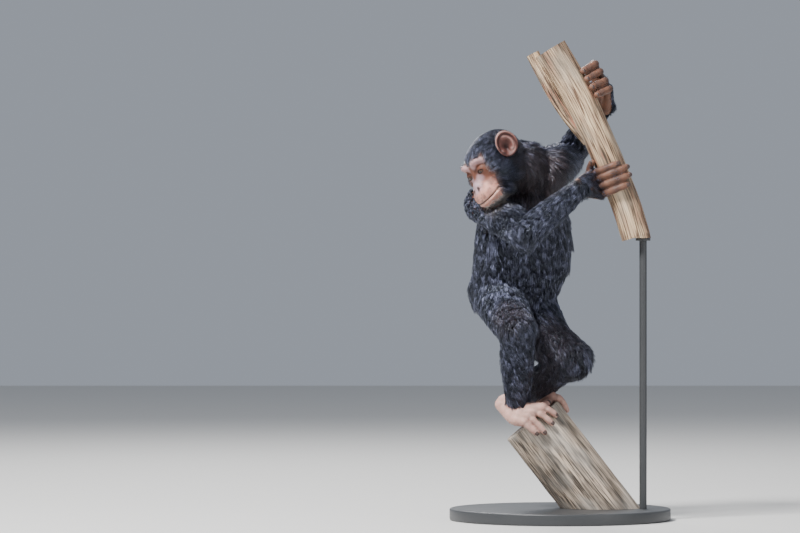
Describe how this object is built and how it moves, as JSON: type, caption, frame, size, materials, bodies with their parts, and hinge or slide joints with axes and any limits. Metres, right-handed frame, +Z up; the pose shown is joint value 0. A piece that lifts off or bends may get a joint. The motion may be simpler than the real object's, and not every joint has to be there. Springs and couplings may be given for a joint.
{
  "type": "chimpanzee",
  "caption": "Life-size still model of a young chimpanzee standing on a sawn branch and holding a bare trunk, on a round display stand.",
  "frame": {"origin": "centre of the underside of the round stand base", "axes": "+Z up; the viewer of the picture looks along +Y, with +X to the right, and the head is turned towards -X and -Y"},
  "size_m": [0.42, 0.42, 0.9085],
  "materials": {
    "stand_paint": "dark satin paint",
    "bare_wood": "bare weathered wood with long grain",
    "weathered_wood": "rough grey-brown bark-less branch",
    "face_skin": "soft bare skin and short hair",
    "ear_skin": "thin bare skin",
    "hand_skin": "creased bare skin",
    "foot_skin": "creased bare skin",
    "eye": "wet gloss",
    "coat": "dense dark hair"
  },
  "bodies": {
    "root": {"stand_base": "stand_paint", "stand_rod": "stand_paint", "perch_trunk": "bare_wood", "perch_stump": "weathered_wood", "head": "face_skin", "ear_left": "ear_skin", "ear_right": "ear_skin", "eye_left": "eye", "eye_right": "eye", "neck": "coat", "chest": "coat", "abdomen": "coat", "pelvis": "coat", "upper_arm_right": "coat", "upper_arm_left": "coat", "forearm_right": "coat", "forearm_left": "coat", "hand_right": "hand_skin", "hand_left": "hand_skin", "thigh_right": "coat", "thigh_left": "coat", "shank_right": "coat", "shank_left": "coat", "foot_right": "foot_skin", "foot_left": "foot_skin"}
  },
  "joints": []
}
